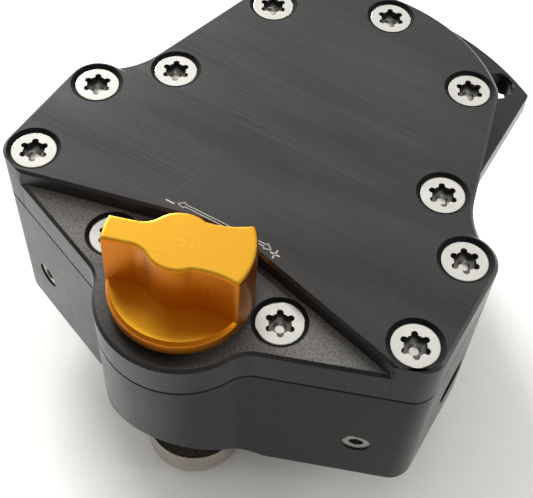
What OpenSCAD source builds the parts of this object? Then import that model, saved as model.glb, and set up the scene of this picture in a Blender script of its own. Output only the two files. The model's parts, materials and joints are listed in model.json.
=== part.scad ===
// Rotary steering damper. An arm under the body turns a vane in an oil chamber, and a knob sets how
// freely the oil passes from one side of the vane to the other.
// The origin is midway between the two mounting holes, on the underside of the tongue that they are in.
// +Z is up, towards the knob, and +Y points away from the knob. Lengths are in millimetres and angles in
// degrees. Heights are drawn from the body's underside, and the whole is lowered to the origin at the end.

/* [Layout] */
// Line of the mounting holes to the axis of the vane shaft
shaft_to_bolts = 31.4; // [30:0.1:36]
// Axis of the vane shaft to the axis of the knob
knob_to_shaft = 47; // [45:0.5:52]
// Axis of the knob to the middle of the four corner screws
band_to_knob = 19.1; // [18.5:0.1:21]
// Axis of the vane shaft to the ball of the rod end
arm_len = 48.2; // [46:0.1:58]
// Turn of the arm from straight ahead, as it is drawn
arm_rest_deg = 3; // [-10:0.5:10]
// Swing of the arm to each side of straight ahead
swing_deg = 60; // [50:1:66]

/* [Body] */
// Height of the body, from its underside to its joint with the cover
body_h = 30; // [28:0.5:36]
// Radius of the ear round each outer cover screw
ear_r = 5.5; // [5.2:0.1:6.5]
// Radius of the rounded front corners
front_ear_r = 4.5; // [4:0.1:5]
// Slant of the front walls on both sides of the knob's boss
wing_deg = 20.7; // [18:0.1:23]
// Radius of the round boss under the knob
boss_r = 14.5; // [13.5:0.1:16]
// Height at which the sloped underside of the boss starts, at its nose
nose_h = 12; // [8:0.5:15]
// Radius of the hollow between a front wall and the boss
front_fillet_r = 6; // [4:0.5:8]
// Radius of the hollow between a rear ear and the slanted side
rear_fillet_r = 14; // [10:0.5:16]

/* [Tongue with the mounting holes] */
// Width of the tongue
tongue_w = 60; // [57:0.5:66]
// Reach of the tongue past the line of the mounting holes
tongue_reach = 10.6; // [9:0.1:15]
// Radius of the curved far edge
tongue_edge_r = 52; // [46:1:80]
// Thickness of the tongue
tongue_t = 5; // [4:0.5:9]
// Distance between the two mounting holes
bolt_spacing = 47; // [44:0.5:48]
// Diameter of each mounting hole
bolt_hole_d = 6.6; // [5.4:0.1:6.8]

/* [Cover] */
// Thickness of the cover at its low front step
cover_t = 7.2; // [6.5:0.1:9]
// Height of the far plane above the front step
far_rise = 1.6; // [1.2:0.1:3]
// Height of the raised band above the front step
band_rise = 3.2; // [2.5:0.1:4.5]
// Slant of the raised band's front edges, which meet in the middle
chevron_deg = 14; // [13.5:0.1:16]

/* [Cover screws] */
// Distance across between the corner screws
corner_dx = 74; // [72:0.5:78]
// Distance along the body between the corner screws
corner_dy = 18.7; // [17:0.1:20]
// Radius of the circle of screws round the chamber
rim_screw_r = 28.5; // [28:0.1:30]
// Angle from the far middle screw to the next one on each side
rim_mid_deg = 48.6; // [46:0.1:52]
// Angle from the far middle screw to the last one on each side
rim_side_deg = 103.4; // [100:0.1:106]
// Distance between the two screws beside the knob
valve_screw_dx = 32.6; // [32:0.1:34]
// Distance of these two screws behind the knob's axis
valve_screw_back = 3.8; // [3:0.1:5]
// Diameter of the screw threads
screw_d = 4; // [3.5:0.1:4.2]
// Diameter of the countersunk screw heads
head_d = 8; // [7.4:0.1:8.4]
// Depth of the heads below the cover's surface
head_sink = 0.45; // [0.3:0.05:0.8]
// Width of the countersink that shows round each head
sink_rim = 0.7; // [0.4:0.05:0.9]
// Length of the outer cover screws
screw_len = 20; // [16:1:22]
// Length of the two screws beside the knob
valve_screw_len = 16; // [12:1:18]
// Width of the six-lobed socket over its points
drive_d = 5.2; // [4.4:0.1:5.4]
// Depth of the six-lobed socket
drive_depth = 1.2; // [0.8:0.1:1.3]
// Depth of the drilled point below the six-lobed socket
drive_point = 0.7; // [0.4:0.1:0.9]
// Least wall between the socket and the head's cone
drive_wall = 0.3; // [0.2:0.05:0.5]

/* [Vane and shaft] */
// Radius of the oil chamber
chamber_r = 22.5; // [20:0.1:23]
// Height of the chamber's floor above the underside
chamber_floor = 15.5; // [15:0.1:17]
// Thickness of the vane
vane_t = 5; // [4:0.1:6]
// Room left between the vane and the chamber's end walls at full swing
stop_gap = 0.5; // [0.3:0.1:1]
// Radius of the shaft's hub in the chamber
hub_r = 9; // [8:0.1:10]
// Diameter of the shaft in its bushes
shaft_d = 12; // [10:0.1:13]
// Diameter of the shaft's end in the arm
shaft_end_d = 10; // [8:0.1:10.5]
// Wall of the two shaft bushes
bush_wall = 2; // [1.5:0.1:2.2]
// Height of the upper bush
upper_bush_h = 5.5; // [4:0.1:6]
// Width of the seal in the vane's tip
tip_seal_w = 2; // [1.5:0.1:2.5]
// Depth of that seal
tip_seal_depth = 3; // [2:0.1:4]
// Diameter of the lip seal under the lower bush
lip_seal_d = 22; // [20:0.5:24]
// Height of the lip seal
lip_seal_h = 4; // [3:0.1:5]
// Thickness of the circlip under the lip seal
circlip_t = 1; // [0.8:0.1:1.2]
// Radial width of the circlip
circlip_w = 2; // [1.6:0.1:2.6]
// Section of the round seals in the body's top face
seal_section = 1.8; // [1.5:0.1:2]

/* [Arm] */
// Thickness of the arm
arm_t = 8.4; // [8:0.1:10]
// Room between the arm and the underside of the body
arm_drop = 1; // [0.8:0.1:2]
// Radius of the arm's hub
arm_hub_r = 11; // [9.5:0.1:13]
// Width of the arm
arm_w = 12; // [10:0.1:15]
// Reach of the arm's solid part from the shaft's axis
arm_reach = 27; // [22:0.5:30]
// Reach of the clamp lugs behind the shaft's axis
lug_reach = 18; // [16:0.5:20]
// Width across the two clamp lugs
lug_w = 17; // [15:0.5:20]
// Width of the clamp's slit
slit_w = 1.6; // [1:0.1:2.4]

/* [Rod end] */
// Outer diameter of the eye
eye_d = 18; // [16:0.1:19]
// Thickness of the eye
eye_t = 6; // [5.5:0.1:7]
// Outer diameter of the race in the eye
race_d = 13.2; // [12.6:0.1:13.6]
// Diameter of the ball
ball_d = 11.1; // [10.6:0.1:11.4]
// Width of the ball
ball_w = 8; // [7:0.1:8.6]
// Diameter of the bolt hole through the ball
ball_bore_d = 5; // [4:0.1:6]
// Diameter of the rod end's thread
rod_d = 5; // [4:0.1:6]
// Depth of the rod end's thread in the arm
rod_grip = 13; // [10:0.5:15]
// Width of the lock nut across its flats
nut_af = 8; // [7:0.1:8.4]
// Thickness of the lock nut
nut_t = 2.7; // [2:0.1:4]

/* [Knob] */
// Diameter of the knob
knob_d = 24; // [22:0.1:25]
// Height of the knob, from its lower rim to its top
knob_h = 13.4; // [12:0.1:16]
// Thickness of the knob's round base
knob_base_t = 2.7; // [2.2:0.1:4]
// Bevel round the top edge of the base
knob_bevel = 0.6; // [0.4:0.1:1.2]
// Direction of the grip's wide end, from +X
knob_turn_deg = 18.2; // [-40:0.1:60]
// Radius of the grip at its middle
grip_mid_r = 5.6; // [5.2:0.1:6.4]
// Width of the grip's narrow end, which points
grip_tip_w = 4.8; // [4:0.1:6]
// Radius of the hollows between the middle and the narrow end
grip_neck_r = 4; // [3:0.1:6]
// Width of the wide end at its waist
grip_waist_w = 9.2; // [8:0.1:10]
// Distance of that waist from the knob's axis
grip_waist_x = 4.8; // [4:0.1:6]
// Radius of the hollow sides of the wide end
grip_side_r = 14; // [11:0.5:20]
// Radius of the dished top of the base
dish_r = 60; // [10:1:80]
// Diameter of the grub screw that holds the knob
grub_d = 3; // [2.5:0.1:3.5]

/* [Valve] */
// Height of the oil passages above the underside
passage_z = 12; // [11:0.1:12.5]
// Diameter of the oil passages
passage_d = 3; // [2:0.1:3.4]
// Diameter of the valve's bore
valve_d = 7; // [6:0.1:7.4]
// Depth of the valve's bore below the oil passages
valve_sump = 4; // [3:0.5:6]
// Width of the square guide that keeps the plunger from turning
guide_w = 8.2; // [7.8:0.1:8.8]
// Height of the guide's floor above the underside
guide_floor = 17.5; // [16.5:0.1:18.5]
// Height of the square head of the plunger
plunger_head_h = 3; // [2:0.1:3.2]
// Room for the plunger below its head
plunger_room = 1; // [0.8:0.1:1.2]
// Diameter of the plunger's drive thread
drive_thread_d = 4; // [3:0.1:4.4]
// Diameter of the spindle
spindle_d = 6; // [5:0.1:7]
// Diameter of the spindle's flange
flange_d = 12; // [11:0.1:12.6]
// Thickness of the spindle's flange
flange_t = 2.6; // [2:0.1:3.2]
// Diameter of the click plate under the knob
click_plate_d = 22; // [20:0.1:22.6]
// Thickness of the click plate
click_plate_t = 1.8; // [1.4:0.1:2.4]
// Depth of the click plate's seat in the cover
click_sink = 0.8; // [0.4:0.1:1.2]
// Number of clicks in a full turn
clicks = 24; // [12:1:36]
// Diameter of the click ball
click_ball_d = 2.4; // [1.8:0.1:2.8]
// Radius of the click ball's track
click_track_r = 8.2; // [7:0.1:9]

/* [Passage plugs] */
// Diameter of the plugs in the front walls
wing_plug_d = 5; // [4:0.1:6]
// Length of the plugs in the front walls
wing_plug_len = 6; // [4:0.5:8]
// Distance of these plugs from the end of their wall
wing_plug_in = 6.7; // [4:0.5:8]
// Diameter of the plugs in the side walls
side_plug_d = 8; // [6:0.1:9]
// Length of the plugs in the side walls
side_plug_len = 6; // [4:0.5:8]
// Depth of a side plug below its wall
side_plug_sink = 2.4; // [2:0.1:3.5]
// Distance of a side plug behind the middle of the corner screws
side_plug_back = 4; // [2:0.1:5]

/* [Fits] */
// Running clearance of what turns or slides, on the radius
run_gap = 0.04; // [0.02:0.01:0.08]
// Clearance of what is fixed in its seat, on the radius
seat_gap = 0.02; // [0.01:0.01:0.05]
// End play of the vane, the spindle and the click ball
end_gap = 0.05; // [0.03:0.01:0.1]
// Clearance of a screw in a plain hole, on the radius
screw_gap = 0.25; // [0.15:0.05:0.4]
// Gap between the knob and the click plate
knob_gap = 0.3; // [0.2:0.05:0.6]

/* [Hidden] */
$fn = 96;

// Overlap that cutting tools reach past a face
over = 1;

// Places along the body
shaft_y = -shaft_to_bolts;
knob_y = shaft_y - knob_to_shaft;
band_y = knob_y + band_to_knob;
shaft_at = [0, shaft_y];
knob_at = [0, knob_y];

// Places of the cover screws on the right-hand side
corner_front = [corner_dx / 2, band_y - corner_dy / 2];
corner_rear = [corner_dx / 2, band_y + corner_dy / 2];
rim_far = shaft_at + [0, rim_screw_r];
rim_mid = shaft_at + rim_screw_r * [sin(rim_mid_deg), cos(rim_mid_deg)];
rim_side = shaft_at + rim_screw_r * [sin(rim_side_deg), cos(rim_side_deg)];
valve_screw_at = knob_at + [valve_screw_dx / 2, valve_screw_back];

// Heights of the tongue's underside and the cover's three planes
tongue_low = body_h - tongue_t;
front_z = body_h + cover_t;
far_z = front_z + far_rise;
band_z = front_z + band_rise;

// Radii of the screws, their holes and their countersinks
screw_r = screw_d / 2;
screw_hole_r = screw_r + screw_gap;
head_r = head_d / 2;
head_lip = 0.2;
sink_r = head_r + max(sink_rim, head_sink + head_lip + seat_gap);

// Depth of the six-lobed socket that the head's cone leaves room for
drive_in = min(drive_depth, head_r + head_lip - drive_wall - drive_d / 2);

// Outline of the walls: outward normals and distances of the slanted walls on the right-hand side
front_ear = corner_front + [ear_r - front_ear_r, 0];
front_n = [sin(wing_deg), -cos(wing_deg)];
front_k = front_n * front_ear + front_ear_r;
side_u = (rim_mid - rim_side) / norm(rim_mid - rim_side);
side_n = [side_u[1], -side_u[0]];
side_k = side_n * rim_side + ear_r;
chevron_n = [-sin(chevron_deg), -cos(chevron_deg)];
chevron_k = chevron_n * corner_front + ear_r;
ear_side = [ear_r, 0];
ear_back = [0, ear_r];

// Centre of a circle of radius f that touches the circle (c, r) and the wall n * p = k, outside both
function hollow_centre(c, r, n, k, f) =
    let (d = k + f - n * c, h = sqrt((r + f) * (r + f) - d * d))
    c + d * n + h * [-n[1], n[0]];
// Point where that circle touches the circle (c, r)
function touch_point(c, r, centre, f) = c + (centre - c) * r / (r + f);
// Point where the walls n * p = k and m * p = j meet
function meet(n, k, m, j) =
    [k * m[1] - j * n[1], n[0] * j - m[0] * k] / (n[0] * m[1] - n[1] * m[0]);
// A right-hand list of points, joined to its mirror image
function mirrored(pts) = concat(pts, [for (i = [len(pts) - 1:-1:0]) [-pts[i][0], pts[i][1]]]);

front_hollow = hollow_centre(knob_at, boss_r, front_n, front_k, front_fillet_r);
rear_hollow = hollow_centre(corner_rear, ear_r, side_n, side_k, rear_fillet_r);
front_touch = front_ear + front_ear_r * front_n;
chevron_end = meet(front_n, front_k, chevron_n, chevron_k);

// Shaft, bushes and seals
shaft_r = shaft_d / 2;
shaft_end_r = shaft_end_d / 2;
bush_r = shaft_r + bush_wall;
lip_seal_r = lip_seal_d / 2;
circlip_r = lip_seal_r + circlip_w / 3;
circlip_inset = 0.4;
circlip_z = circlip_inset;
lip_seal_z = circlip_z + circlip_t;
lower_bush_z = lip_seal_z + lip_seal_h;
shaft_top = body_h + upper_bush_h;
vane_low = chamber_floor + end_gap;
vane_high = body_h - end_gap;
vane_bite = 2.6;
vane_tip_gap = 0.7;
vane_root = hub_r - vane_bite;
vane_tip = chamber_r - vane_tip_gap;
cover_seal_r = (chamber_r + rim_screw_r - screw_r) / 2;
groove_room = 0.2;
groove_w = seal_section + groove_room;

// Arm and rod end
arm_top = -arm_drop;
arm_z = arm_top - arm_t / 2;
rod_r = rod_d / 2;
ball_r = ball_d / 2;
clamp_y = (arm_hub_r + lug_reach) / 2 - 1;
clamp_head_r = 3.5;
clamp_head_h = 4;
clamp_sink = 4.4;
socket_depth = 2;
neck_len = 6;

// Knob and spindle
click_floor = front_z - click_sink;
click_top = click_floor + click_plate_t;
knob_z = click_top + knob_gap;
knob_top = knob_z + knob_h;
base_top = knob_z + knob_base_t;
knob_r = knob_d / 2;
grip_u = [cos(knob_turn_deg), sin(knob_turn_deg)];
spindle_r = spindle_d / 2;
spindle_reach = 9;
spindle_top = knob_z + spindle_reach;
grub_rise = 3.5;
grub_z = base_top + grub_rise;
grub_r = grub_d / 2;
grub_inset = 0.8;
grub_len = grip_mid_r - spindle_r - grub_inset;
spindle_seal_section = 1.6;
spindle_seal_z = body_h + cover_t / 2;
spindle_seal_r = spindle_r + run_gap + spindle_seal_section / 2;

// Valve
valve_r = valve_d / 2;
guide_top = guide_floor + plunger_room + plunger_head_h + plunger_room;
thrust_ring_z = guide_top;
flange_z = body_h - end_gap - flange_t;
thrust_ring_h = flange_z - end_gap - thrust_ring_z;
flange_room = 0.4;
seal_land = 0.8;
valve_well_r = flange_d / 2 + flange_room;
valve_seal_r = valve_well_r + groove_w / 2 + seal_land;
plunger_head_z = guide_floor + plunger_room;
plunger_tip_rise = 0.4;
plunger_tip_t = 2.4;
plunger_low = passage_z + plunger_tip_rise;
drive_low = plunger_low + plunger_tip_t;
click_ball_r = click_ball_d / 2;
click_pocket_r = click_ball_r + run_gap;
click_z = click_top - click_ball_r / 2 + 2 * end_gap;
click_pocket_h = 5;
click_pocket_top = knob_z + click_pocket_h;

// Oil passages on the right-hand side: from a front wall to the chamber, from a side wall to the valve
wall_u = [cos(wing_deg), sin(wing_deg)];
wing_plug_at = front_touch - wing_plug_in * wall_u;
end_wall_n = [cos(swing_deg), -sin(swing_deg)];
end_wall_k = vane_t / 2 + stop_gap;
riser_in = passage_d / 2;
feed_len = (end_wall_n * (wing_plug_at - shaft_at) - end_wall_k + riser_in) / (end_wall_n * front_n);
riser_at = wing_plug_at - feed_len * front_n;
side_plug_at = [corner_dx / 2 + ear_r, band_y + side_plug_back];
cross_u = (side_plug_at - knob_at) / norm(side_plug_at - knob_at);
cross_extra = 0.4;
riser_r = (passage_d - cross_extra) / 2;
cross_r = (passage_d + cross_extra) / 2;
cross_len = norm(side_plug_at - knob_at) - valve_r / 2;

// Shapes that repeat

module both_sides() {
    children();
    mirror([1, 0, 0]) children();
}

// At a place in plan and at its mirror image, for what is the same from both sides
module pair_at(p) {
    for (s = [-1, 1]) translate([s * p[0], p[1]]) children();
}

// A cylinder that starts at a place in plan and height, and runs level along a direction in plan
module level_rod(at, dir, z, r, len) {
    translate([at[0], at[1], z])
        rotate([0, 0, atan2(dir[1], dir[0])])
            rotate([0, 90, 0])
                cylinder(r = r, h = len);
}

// A flat ring
module ring(r_in, r_out, z, h) {
    translate([0, 0, z])
        difference() {
            cylinder(r = r_out, h = h);
            translate([0, 0, -over]) cylinder(r = r_in, h = h + 2 * over);
        }
}

// A ring of round section
module round_ring(r_mid, section) {
    rotate_extrude() translate([r_mid, 0]) circle(d = section);
}

// The six-lobed socket in a screw head, cut down from z = 0
module lobed_socket() {
    lobe_d = drive_d * 0.22;
    point_r = drive_d * 0.3;
    translate([0, 0, -drive_in])
        linear_extrude(drive_in + over)
            union() {
                circle(d = drive_d * 0.72);
                for (i = [0:5])
                    rotate(i * 60) translate([(drive_d - lobe_d) / 2, 0]) circle(d = lobe_d);
            }
    translate([0, 0, -drive_in - drive_point])
        cylinder(r1 = point_r / 2, r2 = point_r, h = drive_point + over);
}

// A countersunk screw whose head's top is at z = 0
module sunk_screw(len) {
    tip = screw_d / 8;
    difference() {
        rotate_extrude()
            polygon([
                [0, -len], [screw_r - tip, -len], [screw_r, tip - len],
                [screw_r, -head_lip - head_r + screw_r], [head_r, -head_lip], [head_r, 0], [0, 0]
            ]);
        lobed_socket();
    }
}

// The hole and countersink for such a screw, in a plane at z = 0
module sunk_hole(depth) {
    translate([0, 0, -depth]) cylinder(r = screw_hole_r, h = depth);
    translate([0, 0, screw_hole_r - sink_r])
        cylinder(r1 = screw_hole_r, r2 = sink_r, h = sink_r - screw_hole_r);
    cylinder(r = sink_r, h = over);
}

// The hole for such a screw's thread
module thread_hole(len) {
    translate([0, 0, -len - over]) cylinder(r = screw_r + seat_gap, h = len);
}

// A set screw along +X, with its socket end at x = 0 and its body behind it
module set_screw(r, len) {
    rotate([0, -90, 0])
        difference() {
            cylinder(r = r, h = len);
            translate([0, 0, -over]) cylinder(r = r * 0.55, h = socket_depth + over, $fn = 6);
        }
}

// Places of the screws, for the screws and for their holes

module at_corners() {
    for (p = [corner_front, corner_rear]) both_sides() translate([p[0], p[1], band_z]) children();
}

module at_rim() {
    translate([rim_far[0], rim_far[1], far_z]) children();
    for (p = [rim_mid, rim_side]) both_sides() translate([p[0], p[1], far_z]) children();
}

module at_valve_screws() {
    both_sides() translate([valve_screw_at[0], valve_screw_at[1], front_z]) children();
}

module at_shaft() {
    translate([0, shaft_y, 0]) children();
}

module at_knob() {
    translate([0, knob_y, 0]) children();
}

// Turned with the arm, which points along -Y before the turn
module on_arm() {
    at_shaft() rotate([0, 0, arm_rest_deg]) children();
}

// Turned with the knob, whose grip lies along X before the turn
module on_knob() {
    at_knob() rotate([0, 0, knob_turn_deg]) children();
}

// Outlines in plan

// Round ears of the corner screws
module corner_ears() {
    pair_at(front_ear) circle(r = front_ear_r);
    pair_at(corner_rear) circle(r = ear_r);
}

// The far end, round the chamber: an arc over the far screws and slanted sides
module far_outline() {
    reach = 2 * rim_screw_r;
    intersection() {
        translate(shaft_at) circle(r = rim_screw_r + ear_r);
        polygon(mirrored([
            shaft_at, shaft_at + reach * [sin(rim_mid_deg), cos(rim_mid_deg)], shaft_at + [0, reach]
        ]));
    }
    pair_at(rim_mid) circle(r = ear_r);
    difference() {
        polygon(mirrored([
            [0, band_y], corner_rear, touch_point(corner_rear, ear_r, rear_hollow, rear_fillet_r),
            rear_hollow - rear_fillet_r * side_n, rim_mid + ear_r * side_n, rim_mid,
            shaft_at + [0, hub_r]
        ]));
        pair_at(rear_hollow) circle(r = rear_fillet_r);
    }
}

// The raised band between the corner screws
module band_outline() {
    apex = [0, chevron_k / chevron_n[1]];
    corner_ears();
    polygon(mirrored([
        apex, chevron_end, front_touch, front_ear, front_ear + [front_ear_r, 0],
        corner_rear + ear_side, corner_rear, corner_rear + ear_back
    ]));
}

// The front, with the boss under the knob
module front_outline() {
    translate(knob_at) circle(r = boss_r);
    difference() {
        polygon(mirrored([
            knob_at, touch_point(knob_at, boss_r, front_hollow, front_fillet_r),
            front_hollow - front_fillet_r * front_n, front_touch, front_ear, [0, band_y]
        ]));
        pair_at(front_hollow) circle(r = front_fillet_r);
    }
}

module cover_outline() {
    front_outline();
    band_outline();
    far_outline();
}

module tongue_outline() {
    intersection() {
        translate([-tongue_w / 2, shaft_y]) square([tongue_w, shaft_to_bolts + 2 * tongue_reach]);
        translate([0, tongue_reach - tongue_edge_r]) circle(r = tongue_edge_r);
    }
}

// The space that the vane sweeps, with room for the hub
module chamber_outline() {
    reach = 2 * chamber_r;
    translate(shaft_at) {
        circle(r = hub_r + run_gap);
        intersection() {
            circle(r = chamber_r);
            union() {
                polygon(mirrored([[0, 0], reach * [sin(swing_deg), cos(swing_deg)], [0, reach]]));
                for (s = [-1, 1])
                    rotate(s * swing_deg) translate([-end_wall_k, 0]) square([2 * end_wall_k, reach]);
            }
        }
    }
}

// Sub-parts of the housing

// Bores for the shaft, the lower bush, the lip seal and the circlip
module shaft_bores() {
    at_shaft() {
        translate([0, 0, -over]) cylinder(r = lip_seal_r + seat_gap, h = lower_bush_z + over);
        translate([0, 0, circlip_z]) cylinder(r = circlip_r + seat_gap, h = circlip_t);
        cylinder(r = bush_r + seat_gap, h = chamber_floor + over);
    }
}

// Bores for the plunger, its guide and the spindle's flange
module valve_bores() {
    at_knob() {
        translate([0, 0, passage_z - valve_sump]) cylinder(r = valve_r, h = body_h);
        translate([-guide_w / 2, -guide_w / 2, guide_floor]) cube([guide_w, guide_w, body_h]);
        translate([0, 0, thrust_ring_z]) cylinder(r = valve_well_r, h = body_h);
    }
}

// Oil passages and the seats of their plugs
module oil_passages() {
    both_sides() {
        level_rod(wing_plug_at + over * front_n, -front_n, passage_z, wing_plug_d / 2 + seat_gap,
            wing_plug_len + 2 * over);
        level_rod(wing_plug_at, -front_n, passage_z, passage_d / 2, feed_len + riser_in);
        translate([riser_at[0], riser_at[1], passage_z])
            cylinder(r = riser_r, h = chamber_floor - passage_z + over);
        level_rod(side_plug_at + 2 * over * cross_u, -cross_u, passage_z, side_plug_d / 2 + seat_gap,
            side_plug_sink + side_plug_len + 2.5 * over);
        level_rod(side_plug_at, -cross_u, passage_z, cross_r, cross_len);
    }
}

// Grooves in the top face for the two round seals
module seal_grooves() {
    low = body_h - seal_section - end_gap;
    half = groove_w / 2;
    at_shaft() ring(cover_seal_r - half, cover_seal_r + half, low, groove_w);
    at_knob() ring(valve_seal_r - half, valve_seal_r + half, low, groove_w);
}

module body_housing() {
    nose_y = knob_y - boss_r;
    color("#26282b")
        difference() {
            union() {
                linear_extrude(body_h) cover_outline();
                translate([0, 0, tongue_low]) linear_extrude(tongue_t) tongue_outline();
            }
            rotate([90, 0, 90])
                translate([0, 0, -corner_dx])
                    linear_extrude(2 * corner_dx)
                        polygon([
                            [nose_y - over, -over], [nose_y - over, nose_h + over],
                            [nose_y + nose_h + over, -over]
                        ]);
            translate([0, 0, chamber_floor]) linear_extrude(body_h) chamber_outline();
            shaft_bores();
            valve_bores();
            oil_passages();
            seal_grooves();
            at_corners() thread_hole(screw_len);
            at_rim() thread_hole(screw_len);
            at_valve_screws() thread_hole(valve_screw_len);
            both_sides()
                translate([bolt_spacing / 2, 0, -over]) cylinder(d = bolt_hole_d, h = body_h + 2 * over);
        }
}

module top_cover() {
    color("#2b2d30")
        difference() {
            union() {
                translate([0, 0, body_h]) linear_extrude(cover_t) cover_outline();
                translate([0, 0, body_h]) linear_extrude(cover_t + far_rise) far_outline();
                translate([0, 0, body_h]) linear_extrude(cover_t + band_rise) band_outline();
            }
            at_corners() sunk_hole(band_z);
            at_rim() sunk_hole(far_z);
            at_valve_screws() sunk_hole(front_z);
            at_shaft()
                translate([0, 0, body_h - over]) cylinder(r = bush_r + seat_gap, h = upper_bush_h + over);
            at_knob() {
                translate([0, 0, body_h - over])
                    cylinder(r = spindle_r + run_gap, h = cover_t + 2 * over);
                translate([0, 0, click_floor])
                    cylinder(r = click_plate_d / 2 + seat_gap, h = click_sink + over);
                ring(spindle_r, spindle_seal_r + spindle_seal_section / 2 + seat_gap,
                    spindle_seal_z - spindle_seal_section / 2 - end_gap, spindle_seal_section + 2 * end_gap);
            }
        }
}

module cover_seal_ring() {
    color("#101010")
        at_shaft()
            translate([0, 0, body_h - seal_section / 2 - end_gap / 2])
                round_ring(cover_seal_r, seal_section);
}

module valve_seal_ring() {
    color("#101010")
        at_knob()
            translate([0, 0, body_h - seal_section / 2 - end_gap / 2])
                round_ring(valve_seal_r, seal_section);
}

module corner_screws() {
    color("#d9d9d6") at_corners() translate([0, 0, -head_sink]) sunk_screw(screw_len);
}

module rim_screws() {
    color("#d9d9d6") at_rim() translate([0, 0, -head_sink]) sunk_screw(screw_len);
}

module valve_screws() {
    color("#d9d9d6") at_valve_screws() translate([0, 0, -head_sink]) sunk_screw(valve_screw_len);
}

module upper_shaft_bush() {
    color("#b08d57")
        at_shaft() ring(shaft_r + run_gap, bush_r, body_h + end_gap, upper_bush_h - end_gap);
}

module lower_shaft_bush() {
    color("#b08d57")
        at_shaft() ring(shaft_r + run_gap, bush_r, lower_bush_z, chamber_floor - lower_bush_z);
}

// A seal with an open groove on its oil side
module shaft_lip_seal() {
    wall = 1.4;
    color("#1c1c1e")
        at_shaft()
            difference() {
                ring(shaft_r + run_gap, lip_seal_r, lip_seal_z, lip_seal_h);
                ring(shaft_r + wall, lip_seal_r - wall, lip_seal_z + wall, lip_seal_h);
            }
}

// A ring that is open at the back
module seal_circlip() {
    opening = 6;
    color("#8c8f93")
        at_shaft()
            difference() {
                ring(circlip_r - circlip_w, circlip_r, circlip_z, circlip_t);
                translate([-opening / 2, 0, 0]) cube([opening, lip_seal_d, 2 * circlip_t + circlip_z]);
            }
}

// Sub-parts that turn with the arm

module vane_shaft() {
    root_w = vane_t + 2 * seat_gap;
    low = arm_top - arm_t;
    step_z = circlip_z - arm_drop;
    high = shaft_top - end_gap;
    color("#b9bcc0")
        on_arm()
            difference() {
                union() {
                    translate([0, 0, low]) cylinder(r = shaft_end_r, h = high - low);
                    translate([0, 0, step_z]) cylinder(r = shaft_r, h = high - step_z);
                    translate([0, 0, vane_low]) cylinder(r = hub_r, h = vane_high - vane_low);
                }
                translate([-root_w / 2, vane_root - seat_gap, vane_low - over])
                    cube([root_w, hub_r, vane_high - vane_low + 2 * over]);
            }
}

module vane_blade() {
    slot_w = tip_seal_w + 2 * seat_gap;
    slot_y = chamber_r - tip_seal_depth - seat_gap;
    color("#9a9da1")
        on_arm()
            difference() {
                translate([-vane_t / 2, vane_root, vane_low])
                    cube([vane_t, vane_tip - vane_root, vane_high - vane_low]);
                translate([-slot_w / 2, slot_y, vane_low - over])
                    cube([slot_w, chamber_r, vane_high - vane_low + 2 * over]);
            }
}

module vane_tip_seal() {
    color("#e8e4da")
        on_arm()
            intersection() {
                translate([-tip_seal_w / 2, chamber_r - tip_seal_depth, vane_low])
                    cube([tip_seal_w, tip_seal_depth, vane_high - vane_low]);
                translate([0, 0, vane_low]) cylinder(r = chamber_r - run_gap, h = vane_high - vane_low);
            }
}

module link_arm() {
    low = arm_top - arm_t;
    side = lug_w / 2;
    color("#303236")
        on_arm()
            difference() {
                translate([0, 0, low])
                    union() {
                        cylinder(r = arm_hub_r, h = arm_t);
                        translate([-arm_w / 2, -arm_reach, 0]) cube([arm_w, arm_reach, arm_t]);
                        translate([-lug_w / 2, 0, 0]) cube([lug_w, lug_reach, arm_t]);
                    }
                translate([0, 0, low - over]) cylinder(r = shaft_end_r + seat_gap, h = arm_t + 2 * over);
                translate([-slit_w / 2, 0, low - over]) cube([slit_w, lug_reach + over, arm_t + 2 * over]);
                level_rod([0, -arm_reach - over], [0, 1], arm_z, rod_r + seat_gap, rod_grip + 2 * over);
                level_rod([-side - over, clamp_y], [1, 0], arm_z, screw_r + seat_gap, lug_w + 2 * over);
                level_rod([0, clamp_y], [1, 0], arm_z, screw_hole_r, lug_w);
                level_rod([side - clamp_sink, clamp_y], [1, 0], arm_z, clamp_head_r + screw_gap, lug_w);
            }
}

module arm_clamp_screw() {
    seat_x = lug_w / 2 - clamp_sink;
    color("#3a3a3c")
        on_arm() {
            difference() {
                union() {
                    level_rod([1 - lug_w / 2, clamp_y], [1, 0], arm_z, screw_r, lug_w / 2 + seat_x - 1);
                    level_rod([seat_x, clamp_y], [1, 0], arm_z, clamp_head_r, clamp_head_h);
                }
                translate([seat_x + clamp_head_h - socket_depth, clamp_y, arm_z])
                    rotate([0, 90, 0]) cylinder(r = clamp_head_r / 2, h = clamp_head_h, $fn = 6);
            }
        }
}

module rod_end_body() {
    shank_end = arm_reach - rod_grip;
    neck_from = arm_len - eye_d / 2 - neck_len;
    color("#c9ccd0")
        on_arm()
            difference() {
                union() {
                    translate([0, -arm_len, arm_z - eye_t / 2]) cylinder(d = eye_d, h = eye_t);
                    level_rod([0, -arm_len], [0, 1], arm_z, rod_r, arm_len - shank_end);
                    translate([0, -arm_len, arm_z])
                        rotate([-90, 0, 0])
                            cylinder(r1 = eye_t * 0.75, r2 = rod_r + 0.7, h = arm_len - neck_from);
                }
                translate([0, -arm_len, arm_z - arm_t]) cylinder(d = race_d, h = 2 * arm_t);
            }
}

module rod_end_race() {
    color("#b5895a")
        on_arm()
            translate([0, -arm_len, arm_z])
                difference() {
                    translate([0, 0, -eye_t / 2]) cylinder(r = race_d / 2 - seat_gap, h = eye_t);
                    sphere(r = ball_r + run_gap);
                }
}

module rod_end_ball() {
    color("#3b3c40")
        on_arm()
            translate([0, -arm_len, arm_z])
                difference() {
                    intersection() {
                        sphere(r = ball_r);
                        cube([ball_d, ball_d, ball_w], center = true);
                    }
                    translate([0, 0, -ball_w]) cylinder(d = ball_bore_d, h = 2 * ball_w);
                }
}

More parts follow.
